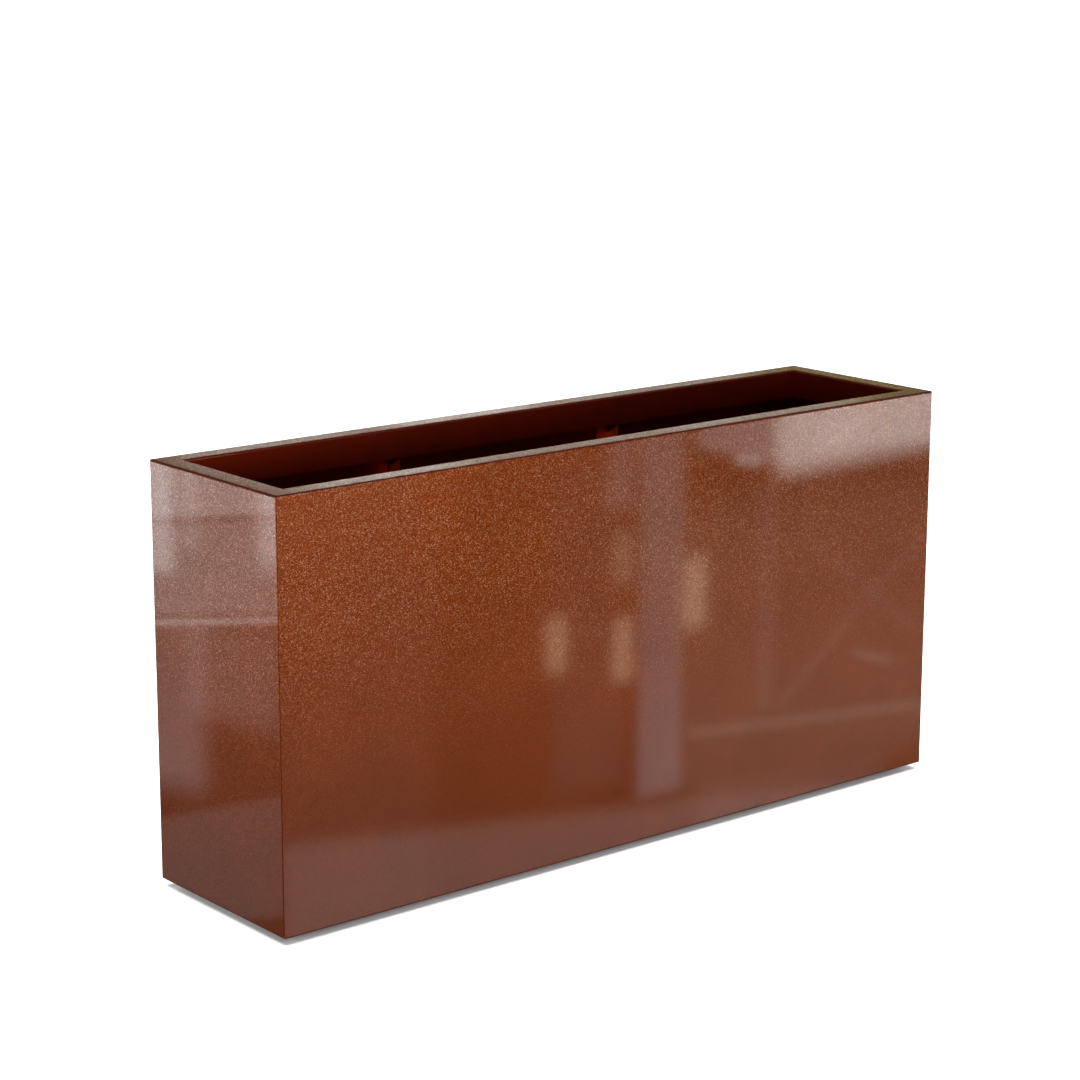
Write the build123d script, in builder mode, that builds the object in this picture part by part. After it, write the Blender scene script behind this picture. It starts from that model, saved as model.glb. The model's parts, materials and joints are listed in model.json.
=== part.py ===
from build123d import *
import math
import os

# Planter box: a long, narrow trough of folded and welded steel sheet on levelling feet.
# Millimetres. The origin is the centre of the footprint at floor level, with +X along the
# length and +Z up. The front faces -Y and the left end faces -X.

# ---- Driving dimensions ----

# Overall
body_length = 1200
body_depth = 300
overall_height = 600
floor_gap = 10  # clear height under the walls

# Sheet and folds of the walls and the floor
sheet = 2
fold_radius = 3  # outside radius of a fold
corner_radius = 3  # outside radius of the upright corners, where the welds are dressed

# Wall profile
rim_width = 33  # flat top of the wall, outer face to lip face
lip_depth = 43  # turned-down lip, top of the rim to its lower edge
return_width = 25  # inward flange along the foot of the wall

# Floor
base_rise = 30  # floor surface above the wall returns
base_clearance = 1  # floor edge to wall
fold_relief = 5  # notch at each corner of the folded floor
drain_diameter = 25
drains_per_bay = 2  # drain holes between two bearers, on the centreline

# Bearers under the floor
bearer_width = 40
bearer_sheet = 2
bearer_inset = 100  # end of the box to the middle of an outer bearer
bearer_clearance = 1  # end of a bearer to the floor's flange

# Upright ribs
rib_spacing = 410  # between the standing legs of the left and right ribs
rib_sheet = 2
rib_lip_clearance = 5  # free edge of the standing leg to the inside of the lip
rib_foot = 25  # leg that lies on the wall
rib_end_gap = 5  # rib to the rim above it and to the floor below it
rib_snipe = 8  # corner cut off the standing leg at each end

# Cross ties
tie_height = 300  # middle of the tie above the ground
tie_width = 40
tie_thickness = 3
tie_end_clearance = 3  # end of a tie to the wall

# M8 fasteners of the ties
tie_bolt_diameter = 8
tie_hole_clearance = 0.5  # radial
tie_bolt_flats = 13
tie_head_height = 5.3
tie_nut_height = 6.5
tie_bolt_spare = 2.5  # bolt end past its nut
washer_diameter = 16
washer_thickness = 1.6

# M10 levelling feet
stud_diameter = 10
stud_seat = 4  # how far the stud goes into its pad
stud_flats = 17
jam_nut_height = 5
weld_nut_height = 8
stud_spare = 6  # stud end past the weld nut
stud_hole_clearance = 0.5  # radial, in the bearer
pad_diameter = 40
pad_hub_diameter = 24
pad_flange_height = 4
foot_inset = 55  # long outer face to the middle of a foot
thread_clearance = 0.05  # radial, between an outer thread and its nut
edge_break = 0.6  # small chamfer on pads and threaded ends
hex_chamfer = 0.8  # height of the turned corners of nuts and bolt heads

# ---- Levels and places that follow from them ----

wall_foot_top = floor_gap + sheet  # top of the wall returns, where the floor stands
base_top = wall_foot_top + base_rise
base_length = body_length - 2 * (sheet + base_clearance)
base_depth = body_depth - 2 * (sheet + base_clearance)
bearer_pitch = body_length / 2 - bearer_inset
bearer_length = base_depth - 2 * (sheet + bearer_clearance)
bearer_height = base_rise - sheet
rib_face = rib_spacing / 2 + rib_sheet / 2  # outer side of a standing leg, where a tie lies
rib_wall = body_depth / 2 - sheet  # inner face of a long wall
rib_depth = rim_width - 2 * sheet - rib_lip_clearance  # standing leg, off the wall
tie_bolt_y = rib_wall - rib_depth / 2
foot_y = body_depth / 2 - foot_inset
pad_height = wall_foot_top - jam_nut_height  # the jam nut fills what the pad leaves
weld_nut_seat = wall_foot_top + bearer_sheet

# Spacings and counts of the feet and of the bolts at one tie, as GridLocations takes them
foot_grid = (bearer_pitch, 2 * foot_y, 3, 2)
tie_bolt_grid = (2 * tie_bolt_y, 0, 2, 1)

sides = {"left": -1, "right": 1}
rows = {"front": -1, "rear": 1}


def save(piece, name):
    """Label a finished piece and write it as one STEP file."""
    piece.part.label = name
    export_step(piece.part, f"parts/{name}.step")


def folded_wall(length, reach):
    """A wall facing -Y at a distance of reach, with rim, lip and return, mitred at both ends."""
    outer = -reach
    with BuildPart() as wall:
        with BuildSketch(Plane.YZ):
            with BuildLine():
                skin = FilletPolyline(
                    (outer + return_width, floor_gap),
                    (outer, floor_gap),
                    (outer, overall_height),
                    (outer + rim_width, overall_height),
                    (outer + rim_width, overall_height - lip_depth),
                    radius=fold_radius,
                )
                offset(skin, amount=sheet, side=Side.RIGHT)
            make_face()
        extrude(amount=length / 2, both=True)
        for side in sides.values():
            mitre = Plane(origin=(side * length / 2, outer, 0), z_dir=(-side, -1, 0))
            split(bisect_by=mitre, keep=Keep.TOP)
        with BuildSketch():
            RectangleRounded(length, 2 * reach, corner_radius)
        extrude(amount=overall_height, mode=Mode.INTERSECT)
    return wall.part


def wall_rib():
    """The upright angle on the right half of the front wall, its foot turned to the middle."""
    bottom = base_top + rib_end_gap
    top = overall_height - sheet - rib_end_gap
    with BuildPart() as rib:
        with BuildSketch(Plane.XY.offset(bottom)):
            with BuildLine():
                skin = FilletPolyline(
                    (rib_face - rib_foot, -rib_wall),
                    (rib_face, -rib_wall),
                    (rib_face, -rib_wall + rib_depth),
                    radius=fold_radius,
                )
                offset(skin, amount=rib_sheet, side=Side.LEFT)
            make_face()
        extrude(amount=top - bottom)
        leg_end = rib.edges().filter_by(Axis.X).group_by(Axis.Y)[-1]
        chamfer(leg_end, length=rib_snipe)
        with BuildSketch(Plane.YZ.offset(rib_face)):
            with Locations((-tie_bolt_y, tie_height)):
                Circle(tie_bolt_diameter / 2 + tie_hole_clearance)
        extrude(amount=-rib_sheet, mode=Mode.SUBTRACT)
    return rib.part


def foot_pad(x, y):
    """The round pad of a levelling foot, with a blind seat for its stud."""
    with BuildPart() as pad:
        with BuildSketch():
            with Locations((x, y)):
                Circle(pad_diameter / 2)
        extrude(amount=pad_flange_height)
        rims = pad.edges().filter_by(GeomType.CIRCLE)
        chamfer(rims, length=edge_break)
        with BuildSketch(Plane.XY.offset(pad_flange_height)):
            with Locations((x, y)):
                Circle(pad_hub_diameter / 2)
        extrude(amount=pad_height - pad_flange_height)
        with BuildSketch(Plane.XY.offset(pad_height)):
            with Locations((x, y)):
                Circle(stud_diameter / 2)
        extrude(amount=-stud_seat, mode=Mode.SUBTRACT)
    return pad.part


def hexagons(plane, grid, flats, height, bore=0):
    """Nuts or bolt heads that stand on a plane, one at each place of a grid, with a bore radius.

    The corners of their free faces are turned off, as on real ones.
    """
    corner = flats / 2 / math.cos(math.radians(30))
    with BuildPart() as turned:
        with BuildSketch(plane):
            with GridLocations(*grid):
                Circle(corner)
        extrude(amount=height)
        outward = Axis(plane.origin, plane.z_dir)
        free_rims = turned.edges().filter_by(GeomType.CIRCLE).group_by(outward)[-1]
        chamfer(free_rims, length=hex_chamfer, length2=2 * hex_chamfer)
    with BuildPart() as hexes:
        with BuildSketch(plane):
            with GridLocations(*grid):
                RegularPolygon(flats / 2, side_count=6, major_radius=False)
                if bore:
                    Circle(bore, mode=Mode.SUBTRACT)
        extrude(amount=height)
        add(turned.part, mode=Mode.INTERSECT)
    return hexes.part


def tie_side(side, distance):
    """A plane at the level of the ties, facing away from the middle at this distance from it."""
    return Plane(origin=(side * distance, 0, tie_height), x_dir=(0, 1, 0), z_dir=(side, 0, 0))


os.makedirs("parts", exist_ok=True)

# ---- Walls ----

long_wall = folded_wall(body_length, body_depth / 2)
end_wall = folded_wall(body_depth, body_length / 2)
walls = {
    "front_panel": (long_wall, 0),
    "rear_panel": (long_wall, 180),
    "left_end_panel": (end_wall, -90),
    "right_end_panel": (end_wall, 90),
}
for name, (wall, turn) in walls.items():
    with BuildPart() as panel:
        add(wall, rotation=(0, 0, turn))
    save(panel, name)

# ---- Floor: a plate with its four edges folded down onto the wall returns ----

with BuildPart() as base_plate:
    # The long way: the plate and its front and rear flanges.
    with BuildSketch(Plane.YZ):
        with BuildLine():
            skin = FilletPolyline(
                (-base_depth / 2, wall_foot_top),
                (-base_depth / 2, base_top),
                (base_depth / 2, base_top),
                (base_depth / 2, wall_foot_top),
                radius=fold_radius,
            )
            offset(skin, amount=sheet, side=Side.RIGHT)
        make_face()
    extrude(amount=base_length / 2 - fold_relief, both=True)
    # The short way: the same section across, clear of the long flanges at the corners.
    with BuildSketch(Plane.XZ):
        with BuildLine():
            skin = FilletPolyline(
                (-base_length / 2, wall_foot_top),
                (-base_length / 2, base_top),
                (base_length / 2, base_top),
                (base_length / 2, wall_foot_top),
                radius=fold_radius,
            )
            offset(skin, amount=sheet, side=Side.RIGHT)
        make_face()
    extrude(amount=base_depth / 2 - fold_relief, both=True)
    with BuildSketch(Plane.XY.offset(base_top)):
        with GridLocations(bearer_pitch / drains_per_bay, 0, 2 * drains_per_bay, 1):
            Circle(drain_diameter / 2)
    extrude(amount=-sheet, mode=Mode.SUBTRACT)
save(base_plate, "base_plate")

# ---- Bearers: upturned channels across the box, on the returns of the long walls ----

for name, column in {"left": -1, "centre": 0, "right": 1}.items():
    middle = column * bearer_pitch
    with BuildPart() as bearer:
        with BuildSketch(Plane.XZ):
            with BuildLine():
                skin = FilletPolyline(
                    (middle - bearer_width / 2, wall_foot_top + bearer_height),
                    (middle - bearer_width / 2, wall_foot_top),
                    (middle + bearer_width / 2, wall_foot_top),
                    (middle + bearer_width / 2, wall_foot_top + bearer_height),
                    radius=fold_radius,
                )
                offset(skin, amount=bearer_sheet, side=Side.LEFT)
            make_face()
        extrude(amount=bearer_length / 2, both=True)
        with BuildSketch(Plane.XY.offset(wall_foot_top)):
            with Locations((middle, -foot_y), (middle, foot_y)):
                Circle(stud_diameter / 2 + stud_hole_clearance)
        extrude(amount=bearer_sheet, mode=Mode.SUBTRACT)
    save(bearer, f"base_bearer_{name}")

    for row, sign in rows.items():
        with BuildPart() as foot:
            add(foot_pad(middle, sign * foot_y))
        save(foot, f"foot_{row}_{name}")

# ---- Studs and nuts of the feet ----

with BuildPart() as foot_studs:
    with BuildSketch(Plane.XY.offset(pad_height - stud_seat)):
        with GridLocations(*foot_grid):
            Circle(stud_diameter / 2)
    extrude(amount=weld_nut_seat + weld_nut_height + stud_spare - pad_height + stud_seat)
    chamfer(foot_studs.faces().group_by(Axis.Z)[-1].edges(), length=edge_break)
save(foot_studs, "foot_studs")

stud_bore = stud_diameter / 2 + thread_clearance
with BuildPart() as foot_jam_nuts:
    add(hexagons(Plane.XY.offset(pad_height), foot_grid, stud_flats, jam_nut_height, stud_bore))
save(foot_jam_nuts, "foot_jam_nuts")

with BuildPart() as foot_weld_nuts:
    add(hexagons(Plane.XY.offset(weld_nut_seat), foot_grid, stud_flats, weld_nut_height, stud_bore))
save(foot_weld_nuts, "foot_weld_nuts")

# ---- Ribs: one on each side of the middle of each long wall ----

rib = wall_rib()
for side in sides:
    for row in rows:
        with BuildPart() as upright:
            add(rib)
            if side == "left":
                mirror(about=Plane.YZ, mode=Mode.REPLACE)
            if row == "rear":
                mirror(about=Plane.XZ, mode=Mode.REPLACE)
        save(upright, f"{row}_rib_{side}")

# ---- Cross ties: flat bars against the outer sides of the ribs ----

for side, sign in sides.items():
    with BuildPart() as tie:
        with BuildSketch(tie_side(sign, rib_face)):
            Rectangle(2 * (rib_wall - tie_end_clearance), tie_width)
            with GridLocations(*tie_bolt_grid):
                Circle(tie_bolt_diameter / 2 + tie_hole_clearance, mode=Mode.SUBTRACT)
        extrude(amount=tie_thickness)
        fillet(tie.edges().filter_by(Axis.X), radius=fold_radius)
    save(tie, f"cross_tie_{side}")

# ---- Fasteners of the ties: bolt heads outside, nuts on the inner side of the ribs ----

head_seat = rib_face + tie_thickness + washer_thickness
nut_seat = rib_face - rib_sheet - washer_thickness
bolt_reach = head_seat - nut_seat + tie_nut_height + tie_bolt_spare
bolt_end = head_seat - bolt_reach
tie_bore = tie_bolt_diameter / 2 + thread_clearance

with BuildPart() as tie_bolts:
    for sign in sides.values():
        add(hexagons(tie_side(sign, head_seat), tie_bolt_grid, tie_bolt_flats, tie_head_height))
        with BuildSketch(tie_side(sign, head_seat)):
            with GridLocations(*tie_bolt_grid):
                Circle(tie_bolt_diameter / 2)
        extrude(amount=-bolt_reach)
    rims = tie_bolts.edges().filter_by(GeomType.CIRCLE)
    ends = rims.filter_by(lambda rim: abs(abs(rim.center().X) - bolt_end) < edge_break)
    chamfer(ends, length=edge_break)
save(tie_bolts, "tie_bolts")

with BuildPart() as tie_washers:
    for sign in sides.values():
        for seat in (rib_face + tie_thickness, nut_seat):
            with BuildSketch(tie_side(sign, seat)):
                with GridLocations(*tie_bolt_grid):
                    Circle(washer_diameter / 2)
                    Circle(tie_bolt_diameter / 2 + tie_hole_clearance, mode=Mode.SUBTRACT)
            extrude(amount=washer_thickness)
save(tie_washers, "tie_washers")

with BuildPart() as tie_nuts:
    for sign in sides.values():
        inward = Plane(origin=(sign * nut_seat, 0, tie_height), x_dir=(0, 1, 0), z_dir=(-sign, 0, 0))
        add(hexagons(inward, tie_bolt_grid, tie_bolt_flats, tie_nut_height, tie_bore))
save(tie_nuts, "tie_nuts")
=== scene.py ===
import json
import math
import random

import bmesh
import bpy
from mathutils import Matrix, Vector


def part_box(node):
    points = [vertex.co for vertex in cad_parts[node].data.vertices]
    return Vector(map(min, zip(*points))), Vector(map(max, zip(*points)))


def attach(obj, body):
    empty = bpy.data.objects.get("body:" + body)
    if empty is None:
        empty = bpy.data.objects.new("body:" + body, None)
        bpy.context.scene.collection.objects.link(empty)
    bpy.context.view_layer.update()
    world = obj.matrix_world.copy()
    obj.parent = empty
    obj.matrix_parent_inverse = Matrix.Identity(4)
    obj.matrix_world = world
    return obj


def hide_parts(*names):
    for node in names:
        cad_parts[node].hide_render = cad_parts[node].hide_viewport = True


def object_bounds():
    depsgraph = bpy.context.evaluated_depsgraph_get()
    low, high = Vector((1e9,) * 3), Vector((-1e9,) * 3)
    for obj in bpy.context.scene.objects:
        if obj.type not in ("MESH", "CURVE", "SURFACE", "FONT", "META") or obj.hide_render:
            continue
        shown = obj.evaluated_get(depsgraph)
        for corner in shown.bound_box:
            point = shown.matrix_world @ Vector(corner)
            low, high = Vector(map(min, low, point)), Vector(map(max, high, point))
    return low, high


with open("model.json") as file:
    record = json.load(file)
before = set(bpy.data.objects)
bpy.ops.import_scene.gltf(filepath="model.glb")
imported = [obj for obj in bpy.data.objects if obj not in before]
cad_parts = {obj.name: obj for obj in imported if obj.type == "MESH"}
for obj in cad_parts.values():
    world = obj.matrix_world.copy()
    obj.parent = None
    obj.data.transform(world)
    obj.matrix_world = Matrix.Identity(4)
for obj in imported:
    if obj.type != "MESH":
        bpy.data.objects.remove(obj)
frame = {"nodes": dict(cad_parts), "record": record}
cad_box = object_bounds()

MM = 0.001
TAU = 2 * math.pi
LOW, HIGH = cad_box
X, Y, Z = Vector((1, 0, 0)), Vector((0, 1, 0)), Vector((0, 0, 1))
scene = bpy.context.scene

# ---- Camera: left of and in front of the box, looking down on it through a long lens ----

CAMERA_PLACE = Vector((-2.501, -2.975, 1.339))
CAMERA_TURN = 39.50  # degrees from +Y towards +X
CAMERA_DROP = 13.19  # degrees below the horizon
CAMERA_ROLL = -0.15
LENS_MM = 92.48
SENSOR_MM = 36.0
VIEW_DEPTH = 200.0


def make_camera():
    data = bpy.data.cameras.new("camera")
    data.lens = LENS_MM
    data.sensor_width = SENSOR_MM
    data.clip_end = VIEW_DEPTH
    camera = bpy.data.objects.new("camera", data)
    turn = Matrix.Rotation(math.radians(-CAMERA_TURN), 4, "Z")
    drop = Matrix.Rotation(math.radians(90 - CAMERA_DROP), 4, "X")
    roll = Matrix.Rotation(math.radians(-CAMERA_ROLL), 4, "Z")
    camera.matrix_world = Matrix.Translation(CAMERA_PLACE) @ turn @ drop @ roll
    scene.collection.objects.link(camera)
    scene.camera = camera


# ---- Shader helpers ----


def node(tree, kind, inputs=None, **settings):
    """Add a shader node. An input is a plain value, or the socket that feeds it."""
    made = tree.nodes.new("ShaderNode" + kind)
    for name, value in settings.items():
        setattr(made, name, value)
    for key, value in (inputs or {}).items():
        if isinstance(value, bpy.types.NodeSocket):
            tree.links.new(value, made.inputs[key])
        else:
            made.inputs[key].default_value = value
    return made


def calc(tree, operation, first, second=0.0):
    return node(tree, "Math", {0: first, 1: second}, operation=operation).outputs[0]


def vector_calc(tree, operation, first, second=(0, 0, 0)):
    return node(tree, "VectorMath", {0: first, 1: second}, operation=operation).outputs["Vector"]


def remap(tree, value, low, high, new_low, new_high):
    """Take one range to another along a smooth step."""
    inputs = {"Value": value, "From Min": low, "From Max": high}
    inputs |= {"To Min": new_low, "To Max": new_high}
    return node(tree, "MapRange", inputs, interpolation_type="SMOOTHSTEP").outputs["Result"]


def remap_linear(tree, value, low, high):
    inputs = {"Value": value, "From Min": low, "From Max": high}
    return node(tree, "MapRange", inputs).outputs["Result"]


def ramp(tree, value, stops):
    """Turn a number into a colour through (position, colour) stops."""
    made = node(tree, "ValToRGB", {"Fac": value})
    elements = made.color_ramp.elements
    while len(elements) < len(stops):
        elements.new(0.5)
    for element, (position, colour) in zip(elements, stops):
        element.position = position
        element.color = (*colour, 1)
    return made.outputs["Color"]


def grey(value):
    return (value, value, value)


def times(tree, first, second):
    """Multiply two colours."""
    return vector_calc(tree, "MULTIPLY", first, second)


def thrice(tree, value):
    """The same number in all three parts of a vector or colour."""
    return node(tree, "CombineXYZ", {"X": value, "Y": value, "Z": value}).outputs[0]


def noise(tree, place, size, detail=2.0):
    """Cloudy noise from 0 to 1, whose lumps are about `size` metres across."""
    return node(tree, "TexNoise", {"Vector": place, "Scale": 1 / size, "Detail": detail}).outputs["Fac"]


def bump(tree, height, depth):
    return node(tree, "Bump", {"Height": height, "Distance": depth}).outputs["Normal"]


def new_material(name):
    material = bpy.data.materials.new(name)
    material.use_nodes = True
    tree = material.node_tree
    return material, tree, tree.nodes["Principled BSDF"]


def feed(tree, shader, name, source):
    tree.links.new(source, shader.inputs[name])


# ---- Materials ----

COAT_COLOUR = (0.42, 0.085, 0.020)
FOLD_SHADE_COLOUR = (0.20, 0.012, 0.004)  # painted shade: the folds are coloured darker and redder
INNER_SHADE_COLOUR = (0.29, 0.022, 0.003)  # painted shade: the inside of the box is coloured darker and redder
FOLD_FACING = (0.80, 0.97)  # largest part of the normal, from on a fold to on a flat
INSIDE_DEPTH = -1.8 * MM  # the inner face of the 2 mm sheet counts as inside
OUTSIDE_DEPTH = -0.9 * MM
FLAKE = 0.8 * MM
FLAKE_LEAN = 0.45
FLAKES_RISE = (0.22, 0.82)  # shares of the height between which the flakes gain strength
FLAKES_LOW = 0.03  # their strength under that
LOW_SHADE_RISE = (0.10, 0.65)  # painted shade: shares of the height between which the walls lighten from their darkest, low down
LOW_SHADE_LEVEL = 0.86
CLOUD = 0.12
CLOUD_RANGE = (0.95, 1.05)
NOISE_SPAN = (0.3, 0.7)  # where most of a noise lies
# Colour of a flake from the dullest to the brightest: partly a random tone of the flakes, partly
# painted glints, the stop above white most of all
FLAKE_TONES_AND_GLINTS = [
    (0.00, (0.18, 0.010, 0.000)),
    (0.62, (0.36, 0.062, 0.001)),
    (0.88, (0.58, 0.170, 0.045)),
    (1.00, (1.30, 0.660, 0.400)),
]
GLOSS = (0.42, 1.0)  # gloss over the dullest and the brightest flakes
RIM_GRAIN = 2.2 * MM  # the photo shows a coarser grain in the gloss of the rim
RIM_FACING = (0.60, 0.95)  # upward part of the normal, from off the rim to on it
RIM_DULL = (0.40, 0.62, 0.75)  # noise that dulls the gloss most, noise that spares it, and how much
CLEAR_WAVE = 5 * MM
CLEAR_WAVE_DEPTH = 0.003 * MM
COAT_METALLIC = 0.9
COAT_ROUGHNESS = 0.05
COAT_IOR = 1.5
FILM_PATCH = 0.03
FILM_ROUGHNESS = (0.46, 0.52)


def largest(tree, vector):
    parts = node(tree, "SeparateXYZ", {"Vector": vector}).outputs
    return calc(tree, "MAXIMUM", calc(tree, "MAXIMUM", parts["X"], parts["Y"]), parts["Z"])


def skin_depth(tree, place):
    """Zero on the outside of the box and the top of its rim, less than zero inside."""
    return largest(tree, vector_calc(tree, "SUBTRACT", vector_calc(tree, "ABSOLUTE", place), HIGH))


def powder_coat_material():
    """Metallic copper-brown powder under a clear gloss coat, with painted shade inside the box, on its
    folds and low on its walls, and painted glints among its flakes.
    """
    material, tree, shader = new_material("powder_coat")
    place = node(tree, "TexCoord").outputs["Object"]
    normal = node(tree, "NewGeometry").outputs["Normal"]

    flakes = node(tree, "TexVoronoi", {"Vector": place, "Scale": 1 / FLAKE}).outputs["Color"]
    lean = vector_calc(tree, "SUBTRACT", flakes, (0.5, 0.5, 0.5))
    outside = remap(tree, skin_depth(tree, place), INSIDE_DEPTH, OUTSIDE_DEPTH, 0.0, 1.0)
    leaning = remap(tree, outside, 0.0, 1.0, 0.0, FLAKE_LEAN)
    lean = times(tree, lean, thrice(tree, leaning))
    feed(tree, shader, "Normal", vector_calc(tree, "NORMALIZE", vector_calc(tree, "ADD", normal, lean)))

    luck = node(tree, "SeparateColor", {"Color": flakes}).outputs["Red"]
    # the flake colours are partly a random tone and partly painted glints
    glints = ramp(tree, luck, FLAKE_TONES_AND_GLINTS)
    height = node(tree, "SeparateXYZ", {"Vector": place}).outputs["Z"]
    start, end = (share * HIGH.z for share in FLAKES_RISE)
    showing = remap(tree, height, start, end, FLAKES_LOW, 1.0)
    # painted shade: the inside of the box is coloured darker and redder than the outside
    coat_with_inner_shade = {"Fac": outside, "Color1": (*INNER_SHADE_COLOUR, 1), "Color2": (*COAT_COLOUR, 1)}
    coat_with_inner_shade = node(tree, "MixRGB", coat_with_inner_shade).outputs[0]
    flaking = calc(tree, "MULTIPLY", showing, outside)
    flaked = node(tree, "MixRGB", {"Fac": flaking, "Color1": coat_with_inner_shade, "Color2": glints}).outputs[0]
    cloud = remap(tree, noise(tree, place, CLOUD), *NOISE_SPAN, *CLOUD_RANGE)
    facing = vector_calc(tree, "ABSOLUTE", normal)
    # painted shade: the rounded folds are coloured darker and redder than the flats
    fold_shade_mask = remap(tree, largest(tree, facing), *FOLD_FACING, 1.0, 0.0)
    with_fold_shade = {"Fac": fold_shade_mask, "Color1": flaked, "Color2": (*FOLD_SHADE_COLOUR, 1)}
    with_fold_shade = node(tree, "MixRGB", with_fold_shade).outputs[0]
    # painted shade: the walls are made darker towards the ground
    start, end = (share * HIGH.z for share in LOW_SHADE_RISE)
    low_shade = remap(tree, height, start, end, LOW_SHADE_LEVEL, 1.0)
    cloud_and_low_shade = thrice(tree, calc(tree, "MULTIPLY", cloud, low_shade))
    feed(tree, shader, "Base Color", times(tree, with_fold_shade, cloud_and_low_shade))
    patches = noise(tree, place, FILM_PATCH)
    feed(tree, shader, "Roughness", remap(tree, patches, *NOISE_SPAN, *FILM_ROUGHNESS))

    shader.inputs["Metallic"].default_value = COAT_METALLIC
    on_flakes = remap(tree, luck, 0.0, 1.0, *GLOSS)
    over_flakes = calc(tree, "MAXIMUM", on_flakes, calc(tree, "SUBTRACT", 1.0, flaking))
    upward = node(tree, "SeparateXYZ", {"Vector": normal}).outputs["Z"]
    grainy = calc(tree, "MULTIPLY", outside, remap(tree, upward, *RIM_FACING, 0.0, 1.0))
    dulled = remap(tree, noise(tree, place, RIM_GRAIN, 3.0), *RIM_DULL, 0.0)
    gloss = calc(tree, "SUBTRACT", over_flakes, calc(tree, "MULTIPLY", grainy, dulled))
    gloss = calc(tree, "MAXIMUM", gloss, 0.0)
    feed(tree, shader, "Coat Weight", gloss)
    shader.inputs["Coat Roughness"].default_value = COAT_ROUGHNESS
    shader.inputs["Coat IOR"].default_value = COAT_IOR
    waves = noise(tree, place, CLEAR_WAVE)
    feed(tree, shader, "Coat Normal", bump(tree, waves, CLEAR_WAVE_DEPTH))
    return material


ZINC_BLOOM = 4 * MM
ZINC_TINTS = [(0.30, (0.50, 0.54, 0.60)), (0.50, (0.62, 0.62, 0.62)), (0.72, (0.66, 0.60, 0.46))]
ZINC_ROUGHNESS = (0.26, 0.44)
RUBBER_COLOURS = [(0.05, grey(0.012)), (0.6, (0.10, 0.09, 0.08))]  # from clean to dusty
RUBBER_ROUGHNESS = (0.62, 0.85)
DUST_HEIGHT = 5 * MM


def zinc_plate_material():
    """Bright zinc plating with a faint blue and yellow bloom and fine handling marks."""
    material, tree, shader = new_material("zinc_plate")
    place = node(tree, "TexCoord").outputs["Object"]
    feed(tree, shader, "Base Color", ramp(tree, noise(tree, place, ZINC_BLOOM), ZINC_TINTS))
    patches = noise(tree, place, 1.5 * MM)
    feed(tree, shader, "Roughness", remap(tree, patches, *NOISE_SPAN, *ZINC_ROUGHNESS))
    scratches = vector_calc(tree, "MULTIPLY", place, (1, 1, 12))
    feed(tree, shader, "Normal", bump(tree, noise(tree, scratches, 2 * MM), 0.03 * MM))
    shader.inputs["Metallic"].default_value = 1.0
    return material


def foot_rubber_material():
    """Black moulded rubber, greyer where floor dust clings low on its side."""
    material, tree, shader = new_material("foot_rubber")
    place = node(tree, "TexCoord").outputs["Object"]
    height = node(tree, "SeparateXYZ", {"Vector": place}).outputs["Z"]
    speck = noise(tree, place, 2.5 * MM, 4.0)
    dust = calc(tree, "MULTIPLY", remap(tree, height, 0.0, DUST_HEIGHT, 0.8, 0.1), speck)
    feed(tree, shader, "Base Color", ramp(tree, dust, RUBBER_COLOURS))
    feed(tree, shader, "Roughness", remap(tree, speck, *NOISE_SPAN, *RUBBER_ROUGHNESS))
    feed(tree, shader, "Normal", bump(tree, noise(tree, place, 0.6 * MM), 0.06 * MM))
    return material


# ---- Mesh helpers ----


def smooth_mesh(bm, name, material, sharp_angle=30):
    """Finish a bmesh as a piece of the object that rides on its one body."""
    bmesh.ops.recalc_face_normals(bm, faces=bm.faces)
    mesh = bpy.data.meshes.new(name)
    bm.to_mesh(mesh)
    bm.free()
    mesh.materials.append(material)
    mesh.shade_smooth()
    mesh.set_sharp_from_angle(angle=math.radians(sharp_angle))
    piece = bpy.data.objects.new(name, mesh)
    scene.collection.objects.link(piece)
    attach(piece, "root")
    return piece


def turned(bm, start, axis, stations, sides):
    """Add a closed body around a line: each station is (distance along it, radius at an angle)."""
    axis = axis.normalized()
    across = axis.orthogonal().normalized()
    up = axis.cross(across)
    rings = []
    for along, radius in stations:
        ring = []
        for side in range(sides):
            angle = TAU * side / sides
            out = across * math.cos(angle) + up * math.sin(angle)
            ring.append(bm.verts.new(start + axis * along + out * radius(angle)))
        rings.append(ring)
    for ring, following in zip(rings, rings[1:]):
        for side in range(sides):
            after = (side + 1) % sides
            bm.faces.new((ring[side], ring[after], following[after], following[side]))
    bm.faces.new(reversed(rings[0]))
    bm.faces.new(rings[-1])


def islands(name):
    """The lowest and highest corner of each separate solid in a CAD node."""
    bm = bmesh.new()
    bm.from_mesh(frame["nodes"][name].data)
    bmesh.ops.remove_doubles(bm, verts=bm.verts, dist=0.001 * MM)
    boxes, waiting = [], set(bm.verts)
    while waiting:
        reached, edge = [], [waiting.pop()]
        while edge:
            vertex = edge.pop()
            reached.append(vertex.co.copy())
            for link in vertex.link_edges:
                other = link.other_vert(vertex)
                if other in waiting:
                    waiting.remove(other)
                    edge.append(other)
        box = [Vector([pick(p[i] for p in reached) for i in range(3)]) for pick in (min, max)]
        boxes.append(box)
    bm.free()
    return boxes


# ---- Turned and threaded pieces ----

SIDES = 48
THREAD_STEPS = 8  # stations in one turn of a thread
THREAD_DEPTH = 0.61  # share of the pitch


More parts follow.
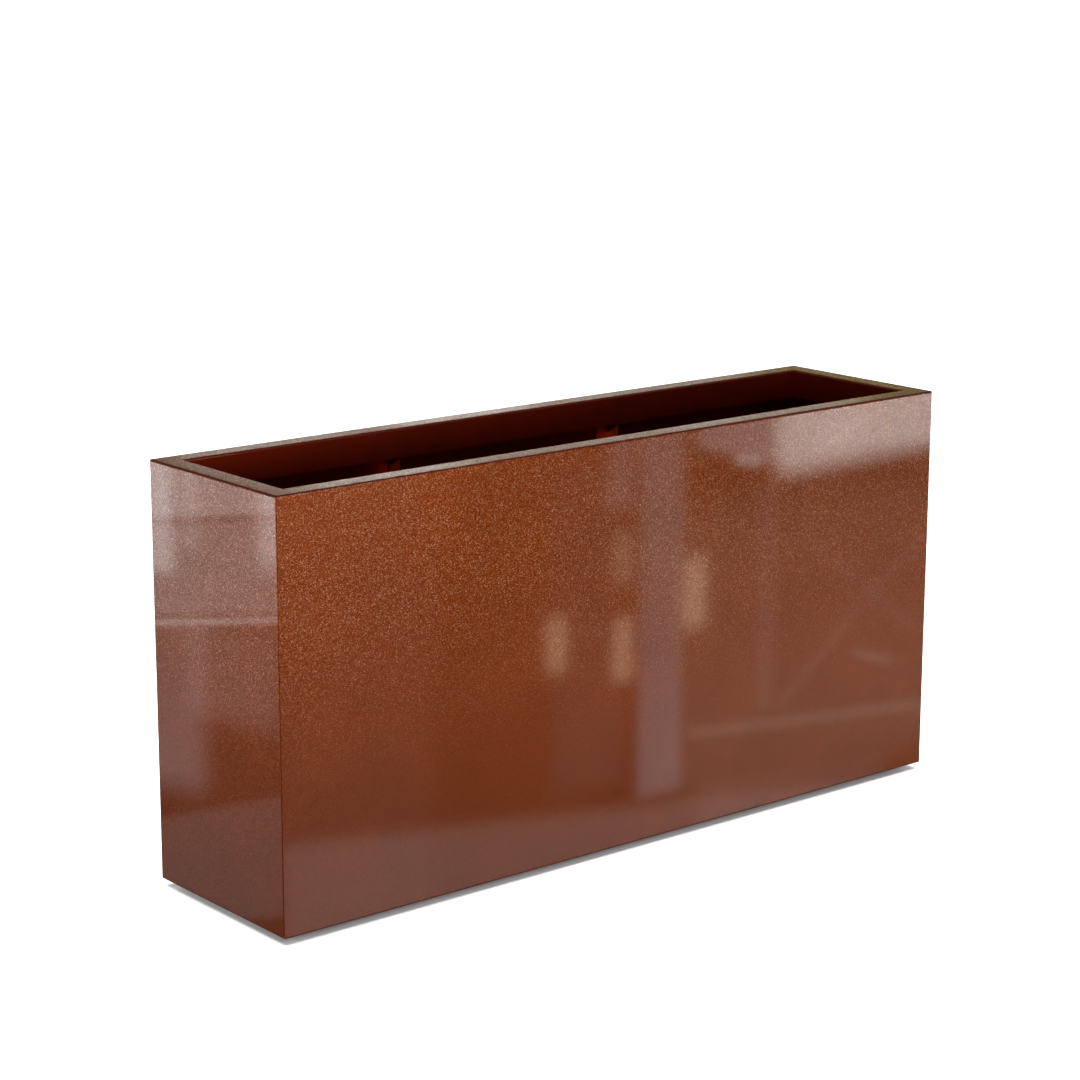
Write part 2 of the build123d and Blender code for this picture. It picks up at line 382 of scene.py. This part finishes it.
def thread_stations(length, radius, pitch, first=0.0):
    """Stations of a rolled thread with a chamfer of one thread depth at its far end."""
    depth = THREAD_DEPTH * pitch
    count = round(length / pitch * THREAD_STEPS)

    def radius_at(along):
        room = radius - depth + max(0.0, length - along)

        def at(angle):
            phase = (along / pitch - angle / TAU) % 1.0
            flank = min(1.0, abs(2 * phase - 1) * 1.25)
            return min(room, radius - depth * (1 - flank))

        return at

    return [(first + length * i / count, radius_at(length * i / count)) for i in range(count + 1)]


def hexagon(flats, ring_radius):
    """Radius of a hexagon turned down to a ring."""

    def at(angle):
        from_flat = (angle + TAU / 12) % (TAU / 6) - TAU / 12
        return min(ring_radius, flats / 2 / math.cos(from_flat))

    return at


def circle(radius):
    return lambda angle: radius


BOLT_RADIUS = 4 * MM
BOLT_PITCH = 1.25 * MM
BOLT_HEAD = 5.3 * MM
BOLT_FLATS = 13 * MM
STUD_RADIUS = 5 * MM
STUD_PITCH = 1.5 * MM
HEX_CHAMFER = 0.8 * MM


def tie_bolts(material):
    """Set screws through the ribs and cross ties, threaded up to the head."""
    bm = bmesh.new()
    for low, high in islands("tie_bolts"):
        centre = (low + high) / 2
        outward = 1 if centre.x > 0 else -1
        head = Vector((high.x if outward > 0 else low.x, centre.y, centre.z))
        corner = BOLT_FLATS / math.sqrt(3)
        length = high.x - low.x - BOLT_HEAD
        stations = [
            (0.0, circle(BOLT_FLATS / 2 * 0.6)),
            (0.0, hexagon(BOLT_FLATS, corner - HEX_CHAMFER)),
            (HEX_CHAMFER / 2, hexagon(BOLT_FLATS, corner)),
            (BOLT_HEAD, hexagon(BOLT_FLATS, corner)),
        ]
        turned(bm, head, X * -outward, stations, SIDES)
        shank = thread_stations(length, BOLT_RADIUS, BOLT_PITCH)
        turned(bm, head - X * outward * BOLT_HEAD, X * -outward, shank, SIDES)
    piece = smooth_mesh(bm, "tie_bolts_threaded", material)
    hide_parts("tie_bolts")


def foot_studs(material):
    """Threaded studs that carry the rubber feet."""
    bm = bmesh.new()
    for low, high in islands("foot_studs"):
        start = Vector(((low.x + high.x) / 2, (low.y + high.y) / 2, low.z))
        turned(bm, start, Z, thread_stations(high.z - low.z, STUD_RADIUS, STUD_PITCH), SIDES)
    piece = smooth_mesh(bm, "foot_studs_threaded", material)
    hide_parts("foot_studs")


PAD_SIDES = 180
PAD_RIBS = 30
RIB_DEPTH = 0.5 * MM
FLANGE = 4 * MM
NECK_RADIUS = 12 * MM
GROOVE_DEPTH = 0.7 * MM
EDGE_ROUND = 0.8 * MM


def foot_pad(name, material):
    """A rubber foot: ribbed round its flange, with a rounded neck and grooves in its sole."""
    low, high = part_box(name)
    centre = (low + high) / 2
    rim = (high.x - low.x) / 2
    height = high.z - low.z

    def ribbed(angle):
        return rim - RIB_DEPTH * abs(math.sin(PAD_RIBS * angle / 2)) ** 3

    stations = [(GROOVE_DEPTH, circle(rim * 0.15)), (0.0, circle(rim * 0.17))]
    for groove in (0.38, 0.60, 0.82):
        stations += [
            (0.0, circle(rim * (groove - 0.05))),
            (GROOVE_DEPTH, circle(rim * (groove - 0.03))),
            (GROOVE_DEPTH, circle(rim * (groove + 0.03))),
            (0.0, circle(rim * (groove + 0.05))),
        ]
    stations += [
        (0.0, circle(rim - 2 * EDGE_ROUND)),
        (EDGE_ROUND * 0.3, circle(rim - EDGE_ROUND * 0.9)),
        (EDGE_ROUND, ribbed),
        (FLANGE - EDGE_ROUND, ribbed),
        (FLANGE - EDGE_ROUND * 0.3, circle(rim - EDGE_ROUND * 0.9)),
        (FLANGE, circle(rim - 2 * EDGE_ROUND)),
        (FLANGE, circle(NECK_RADIUS + EDGE_ROUND)),
        (FLANGE + EDGE_ROUND * 0.4, circle(NECK_RADIUS + EDGE_ROUND * 0.2)),
        (FLANGE + EDGE_ROUND, circle(NECK_RADIUS)),
        (height - EDGE_ROUND / 2, circle(NECK_RADIUS)),
        (height, circle(NECK_RADIUS - EDGE_ROUND / 2)),
    ]
    bm = bmesh.new()
    turned(bm, Vector((centre.x, centre.y, low.z)), Z, stations, PAD_SIDES)
    piece = smooth_mesh(bm, name + "_moulded", material)
    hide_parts(name)


# ---- Weld beads ----

BEAD_STEP = 0.5 * MM
BEAD_RIPPLE = 2.2 * MM
BEAD_COLUMNS = 6
BEAD_TAPER = 3 * MM
WANDER_STEP = 12  # rows of a bead from one change of its width to the next
WANDER = 0.06
CROWN = 0.13  # how far a bead swells, and how much of that is its ripple
RIPPLE = 0.045


def bead(bm, start, end, legs, size, rng):
    """Add a fillet weld from start to end in the corner between two legs."""
    length = (end - start).length
    along = (end - start).normalized()
    count = max(8, round(length / BEAD_STEP))
    wander = [rng.uniform(-1, 1) for _ in range(count // WANDER_STEP + 3)]
    rows = []
    for i in range(count + 1):
        travelled = length * i / count
        at = i / WANDER_STEP
        drift = wander[int(at)] + (wander[int(at) + 1] - wander[int(at)]) * (at % 1)
        taper = min(1.0, (min(travelled, length - travelled) + 0.3 * MM) / BEAD_TAPER) ** 0.5
        width = size * taper * (1 + WANDER * drift)
        row = [bm.verts.new(start + along * travelled)]
        for column in range(BEAD_COLUMNS + 1):
            share = column / BEAD_COLUMNS
            crown = 4 * share * (1 - share)
            ripple = math.cos(TAU * (travelled - 0.6 * MM * crown) / BEAD_RIPPLE)
            out = legs[0] * (1 - share) + legs[1] * share
            swell = (legs[0] + legs[1]) * crown * (CROWN + RIPPLE * ripple)
            row.append(bm.verts.new(start + along * travelled + (out + swell) * width))
        rows.append(row)
    for row, following in zip(rows, rows[1:]):
        for column in range(len(row)):
            after = (column + 1) % len(row)
            bm.faces.new((row[column], row[after], following[after], following[column]))
    bm.faces.new(rows[0])
    bm.faces.new(reversed(rows[-1]))


def corners():
    """The four corners of the box, as signs of X and Y."""
    return [(sx, sy) for sx in (-1, 1) for sy in (-1, 1)]


SHEET = 2 * MM
CORNER_BEAD = 4 * MM
STITCH = 25 * MM
BASE_STITCHES_LONG = 8
BASE_STITCHES_SHORT = 2
RIB_STITCHES = 5
BASE_STITCH_DROP = 1.5 * MM  # under the top of the base plate's edge


def corner_welds(material):
    """Full welds up the inside of the mitred corners."""
    rng = random.Random(11)
    inner = Vector((HIGH.x - SHEET, HIGH.y - SHEET, 0))
    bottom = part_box("base_plate")[1].z
    top = HIGH.z - SHEET
    bm = bmesh.new()
    for sx, sy in corners():
        root = Vector((sx * inner.x, sy * inner.y, 0))
        bead(bm, root + Z * bottom, root + Z * top, (X * -sx, Y * -sy), CORNER_BEAD, rng)
    smooth_mesh(bm, "corner_welds", material)


def base_welds(material):
    """Stitches that tie the edge of the base plate to the walls."""
    rng = random.Random(12)
    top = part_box("base_plate")[1]
    inner = Vector((HIGH.x - SHEET, HIGH.y - SHEET, 0))
    level = Z * (top.z - BASE_STITCH_DROP)
    bm = bmesh.new()
    for sign in (-1, 1):
        for i in range(BASE_STITCHES_LONG):
            middle = 2 * top.x * ((i + 0.5) / BASE_STITCHES_LONG - 0.5)
            root = Vector((middle, sign * inner.y, 0)) + level
            bead(bm, root - X * STITCH / 2, root + X * STITCH / 2, (Y * -sign, Z), CORNER_BEAD, rng)
        for i in range(BASE_STITCHES_SHORT):
            middle = 2 * top.y * ((i + 0.5) / BASE_STITCHES_SHORT - 0.5)
            root = Vector((sign * inner.x, middle, 0)) + level
            bead(bm, root - Y * STITCH / 2, root + Y * STITCH / 2, (X * -sign, Z), CORNER_BEAD, rng)
    smooth_mesh(bm, "base_welds", material)


def rib_welds(material):
    """Stitches down both edges of each rib's foot, on the wall."""
    rng = random.Random(13)
    bm = bmesh.new()
    for side, sy in (("front", -1), ("rear", 1)):
        for hand in ("left", "right"):
            low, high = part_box(f"{side}_rib_{hand}")
            wall = sy * (HIGH.y - SHEET)
            for i in range(RIB_STITCHES):
                middle = low.z + (high.z - low.z) * (i + 0.5) / RIB_STITCHES
                for edge, away in ((low.x, -1), (high.x, 1)):
                    root = Vector((edge, wall, middle))
                    legs = (X * away, Y * -sy)
                    bead(bm, root - Z * STITCH / 2, root + Z * STITCH / 2, legs, SHEET, rng)
    smooth_mesh(bm, "rib_welds", material)


# ---- Stage: a white floor, soft light all round and soft-edged cards ----

FLOOR_HALF = 60.0
FLOOR_COLOUR = 0.9
FLOOR_LIGHT = 6.0
FLOOR_GLOW = 0.12  # keeps the shadow beside the box pale
FLOOR_LIGHT_SPREAD = 70  # degrees
RIB_LIGHT = 3.0
RIB_LIGHT_SPREAD = 4  # degrees
RIB_LIGHT_FROM = Vector((-1.2, -1.0, 0.61))

# Light of the studio by elevation in degrees, from straight down to straight up
SURROUND = [
    (-90, grey(0.10)),
    (-6, (0.04, 0.035, 0.025)),
    (0, (0.17, 0.155, 0.12)),
    (25, (0.17, 0.155, 0.12)),
    (40, grey(0.25)),
    (60, grey(0.25)),
    (90, grey(0.50)),
]

# Low soft boxes a metre out from the walls: centre, width, height, power in watts
SOFT_BOXES = {
    "front_soft_box": ((-0.38, -1.15, 0.67), 1.4, 0.3, 4.6),
    "left_soft_box": ((-1.60, 0.35, 0.34), 0.5, 0.4, 2.4),
    "rear_soft_box": ((0.20, 1.15, 0.38), 1.5, 0.3, 6.0),
    "right_soft_box": ((1.60, 0.20, 0.38), 0.5, 0.3, 3.0),
}

# Soft cards seen in the gloss of a wall, in place of the room that the photo's gloss mirrors. They are
# set for the one camera above, so from elsewhere they show in other places. Each is given by
# the patch of wall that mirrors it for that camera, in millimetres: from and to across the wall, low
# and high at its near edge, how far it rises to its far edge, the width of its soft border, and its
# light. The rim's are given the same way, with front and back for low and high.
CARD_POWER = 1.34
FRONT_CARDS = [
    (-60, 270, -60, 660, 0, 60, grey(0.11)),  # left veil
    (430, 600, 90, 600, 0, 40, grey(0.17)),  # faint upright band
    (640, 1320, 10, 540, -30, 90, (0.37, 0.38, 0.31)),  # right veil
    (596, 704, 62, 640, 0, 26, (0.68, 0.88, 0.97)),  # broad upright band
    (536, 614, 490, 660, 0, 30, (0.62, 0.72, 0.76)),  # its shoulder
    (831, 882, 150, 520, 0, 20, grey(0.28)),  # narrow upright band
    (850, 1300, 486, 660, 8, 52, (5.4, 5.1, 4.8)),  # bright top right
    (930, 1080, 520, 600, 10, 38, grey(0.8)),  # its brightest blob
    (700, 900, 560, 660, -50, 30, grey(1.5)),  # its feathered near end
    (785, 850, 530, 560, -8, 14, grey(2.5)),
    (424, 490, 274, 384, 0, 32, (3.0, 2.1, 1.35)),  # warm lamps
    (546, 612, 240, 362, 0, 32, (3.0, 2.15, 1.4)),
    (676, 752, 292, 432, 0, 36, (3.2, 2.4, 1.7)),
    (548, 610, 380, 486, 0, 30, (1.3, 1.05, 0.75)),
    (476, 552, 325, 345, 0, 9, (0.35, 0.25, 0.15)),  # a dim one between
    (700, 1210, 138, 168, -48, 13, grey(0.42)),  # thin level line
    (880, 1190, 142, 170, 225, 12, (0.30, 0.32, 0.33)),  # crossed slanting lines
    (930, 1190, 404, 430, -195, 12, (0.26, 0.28, 0.30)),
    (1036, 1136, 206, 232, -34, 11, grey(0.50)),
    (-20, 1230, -260, 158, -152, 34, (0.54, 0.56, 0.56)),  # pale floor
    (720, 1130, -20, 84, -30, 25, grey(0.20)),  # its bright right part
]
END_CARDS = [
    (-20, 320, 509, 640, 66, 10, grey(1.9)),  # pale top, above a dark line
    (-20, 320, 378, 512, 68, 10, grey(1.15)),  # and below it
    (-20, 62, 440, 640, 0, 20, grey(2.2)),  # bright rear corner, and a bar beside it
    (70, 126, 484, 660, 0, 18, grey(0.8)),
    (240, 345, 480, 670, 10, 40, grey(1.9)),  # bright front corner
    (-20, 320, 364, 376, 74, 5, grey(2.4)),  # thin bright line
    (-60, 150, 110, 410, 30, 60, grey(0.52)),  # rear half
    (60, 330, 240, 420, 30, 50, grey(0.42)),  # above the dark patch
    (-20, 320, -80, 95, 125, 12, grey(0.235)),  # pale floor
]
RIM_CARDS = [
    (15, 1080, -40, 340, 0, 40, (1.30, 1.25, 1.05)),  # pale sky
    (-40, 60, -40, 340, 0, 30, (0.55, 0.40, 0.34)),  # warmer over the left end
    (1010, 1260, -40, 340, 0, 50, (0.42, 0.47, 0.12)),  # leaves over the right end
    (60, 330, -40, 80, 0, 40, grey(1.30)),  # brighter patches
    (30, 330, 220, 340, 0, 40, grey(0.50)),
    (370, 660, 220, 340, 0, 40, grey(1.80)),
    (690, 820, -40, 340, 0, 35, grey(0.40)),
]


def make_world():
    world = bpy.data.worlds.new("studio")
    scene.world = world
    world.use_nodes = True
    world.cycles.sampling_method = "NONE"
    tree = world.node_tree
    direction = node(tree, "TexCoord").outputs["Generated"]
    rise = node(tree, "SeparateXYZ", {"Vector": direction}).outputs["Z"]
    stops = [((math.sin(math.radians(angle)) + 1) / 2, colour) for angle, colour in SURROUND]
    around = ramp(tree, remap_linear(tree, rise, -1, 1), stops)
    seen = node(tree, "LightPath").outputs["Is Camera Ray"]
    shown = node(tree, "MixRGB", {"Fac": seen, "Color1": around, "Color2": (1, 1, 1, 1)}).outputs[0]
    tree.links.new(shown, tree.nodes["Background"].inputs["Color"])


def make_floor():
    """A white floor that reads as white, and that gloss doesn't mirror."""
    material, _, shader = new_material("floor")
    shader.inputs["Base Color"].default_value = (*grey(FLOOR_COLOUR), 1)
    shader.inputs["Roughness"].default_value = 1.0
    shader.inputs["Emission Color"].default_value = (1, 1, 1, 1)
    shader.inputs["Emission Strength"].default_value = FLOOR_GLOW
    mesh = bpy.data.meshes.new("floor")
    ends = (-FLOOR_HALF, FLOOR_HALF)
    mesh.from_pydata([(x, y, LOW.z) for y in ends for x in ends], [], [(0, 1, 3, 2)])
    mesh.materials.append(material)
    floor = bpy.data.objects.new("floor", mesh)
    scene.collection.objects.link(floor)
    floor.visible_glossy = False

    sun = bpy.data.lights.new("floor_light", "SUN")
    sun.energy = FLOOR_LIGHT
    sun.angle = math.radians(FLOOR_LIGHT_SPREAD)
    light = bpy.data.objects.new("floor_light", sun)
    scene.collection.objects.link(light)
    lit = bpy.data.collections.new("lit_by_floor_light")
    lit.objects.link(floor)
    light.light_linking.receiver_collection = lit


def make_rib_light():
    """Light for the rear ribs alone, because the photo shows the tops of both lit."""
    sun = bpy.data.lights.new("rib_light", "SUN")
    sun.energy = RIB_LIGHT
    sun.angle = math.radians(RIB_LIGHT_SPREAD)
    light = bpy.data.objects.new("rib_light", sun)
    light.rotation_euler = RIB_LIGHT_FROM.to_track_quat("Z", "Y").to_euler()
    scene.collection.objects.link(light)
    lit = bpy.data.collections.new("lit_by_rib_light")
    for hand in ("left", "right"):
        lit.objects.link(frame["nodes"][f"rear_rib_{hand}"])
    light.light_linking.receiver_collection = lit


def make_soft_boxes():
    """Soft boxes at the height of the walls, each turned to the wall that it lights."""
    facing = {"front": -Y, "left": -X, "rear": Y, "right": X}
    for name, (centre, width, height, power) in SOFT_BOXES.items():
        data = bpy.data.lights.new(name, "AREA")
        data.shape = "RECTANGLE"
        data.size = width
        data.size_y = height
        data.energy = power
        light = bpy.data.objects.new(name, data)
        light.location = centre
        away = facing[name.split("_")[0]]
        light.rotation_euler = away.to_track_quat("Z", "Y").to_euler()
        light.visible_camera = False
        scene.collection.objects.link(light)


def card_material():
    """Light that adds to what is behind it and fades out at the card's border."""
    material = bpy.data.materials.new("card_glow")
    material.use_nodes = True
    material.cycles.emission_sampling = "NONE"
    tree = material.node_tree
    tree.nodes.clear()
    border = node(tree, "Attribute", {}, attribute_name="border").outputs["Vector"]
    spot = node(tree, "TexCoord").outputs["UV"]
    spots = [node(tree, "SeparateXYZ", {"Vector": spot}).outputs[i] for i in (0, 1)]
    inward = [calc(tree, "PINGPONG", along, 0.5) for along in spots]
    reach = node(tree, "SeparateXYZ", {"Vector": border}).outputs
    fades = [remap(tree, inward[i], 0.0, reach[i], 0.0, 1.0) for i in (0, 1)]
    light = node(tree, "Attribute", {}, attribute_name="light").outputs["Color"]
    strength = calc(tree, "MULTIPLY", calc(tree, "MULTIPLY", *fades), CARD_POWER)
    glow = node(tree, "Emission", {"Color": light, "Strength": strength})
    clear = node(tree, "BsdfTransparent")
    both = node(tree, "AddShader", {0: glow.outputs[0], 1: clear.outputs[0]})
    node(tree, "OutputMaterial", {"Surface": both.outputs[0]})
    return material


CARD_DISTANCE = 1.5
CARD_GAP = 5 * MM


def make_cards(name, cards, wall_point, outward, material):
    """Hang the cards parallel to a wall, where the camera sees them in its gloss."""
    plane = wall_point(0, 0)
    eye = CAMERA_PLACE - 2 * outward * (CAMERA_PLACE - plane).dot(outward)
    depth = (plane - eye).dot(outward)
    mesh = bpy.data.meshes.new(name)
    points, lights, borders = [], [], []  # the last two hold four and three numbers a point
    for number, (start, end, low, high, rise, soft, light) in enumerate(cards):
        reach = (depth + CARD_DISTANCE + number * CARD_GAP) / depth
        for across, up in ((start, low), (end, low + rise), (end, high + rise), (start, high)):
            points.append(eye + (wall_point(across * MM, up * MM) - eye) * reach)
            lights += [*light, 1]
            borders += [soft / (end - start), soft / (high - low), 0]
    quads = [range(first, first + 4) for first in range(0, len(points), 4)]
    mesh.from_pydata(points, [], [tuple(quad) for quad in quads])
    mesh.attributes.new("light", "FLOAT_COLOR", "POINT").data.foreach_set("color", lights)
    mesh.attributes.new("border", "FLOAT_VECTOR", "POINT").data.foreach_set("vector", borders)
    layer = mesh.uv_layers.new(name="card").data
    for loop in range(len(points)):
        layer[loop].uv = ((0, 0), (1, 0), (1, 1), (0, 1))[loop % 4]
    mesh.materials.append(material)
    hanging = bpy.data.objects.new(name, mesh)
    scene.collection.objects.link(hanging)
    hanging.visible_camera = False
    hanging.visible_diffuse = False
    hanging.visible_shadow = False


def front_wall(across, up):
    return Vector((LOW.x + across, LOW.y, up))


def left_end(across, up):
    return Vector((LOW.x, HIGH.y - across, up))


def rim_top(across, back):
    return Vector((LOW.x + across, LOW.y + back, HIGH.z))


# ---- The whole scene ----

scene.view_settings.view_transform = "Standard"
make_camera()

coat = powder_coat_material()
zinc = zinc_plate_material()
rubber = foot_rubber_material()
by_slot = {"powder_coat": coat, "zinc_plate": zinc, "foot_rubber": rubber}
for subpart in frame["record"]["subparts"]:
    mesh = frame["nodes"][subpart["node"]].data
    mesh.materials.clear()
    mesh.materials.append(by_slot[subpart["material_slot"]])

tie_bolts(zinc)
foot_studs(zinc)
for side in ("front", "rear"):
    for place in ("left", "centre", "right"):
        foot_pad(f"foot_{side}_{place}", rubber)
corner_welds(coat)
base_welds(coat)
rib_welds(coat)

make_world()
make_floor()
make_rib_light()
make_soft_boxes()
glow = card_material()
make_cards("front_cards", FRONT_CARDS, front_wall, -Y, glow)
make_cards("end_cards", END_CARDS, left_end, -X, glow)
make_cards("rim_cards", RIM_CARDS, rim_top, Z, glow)
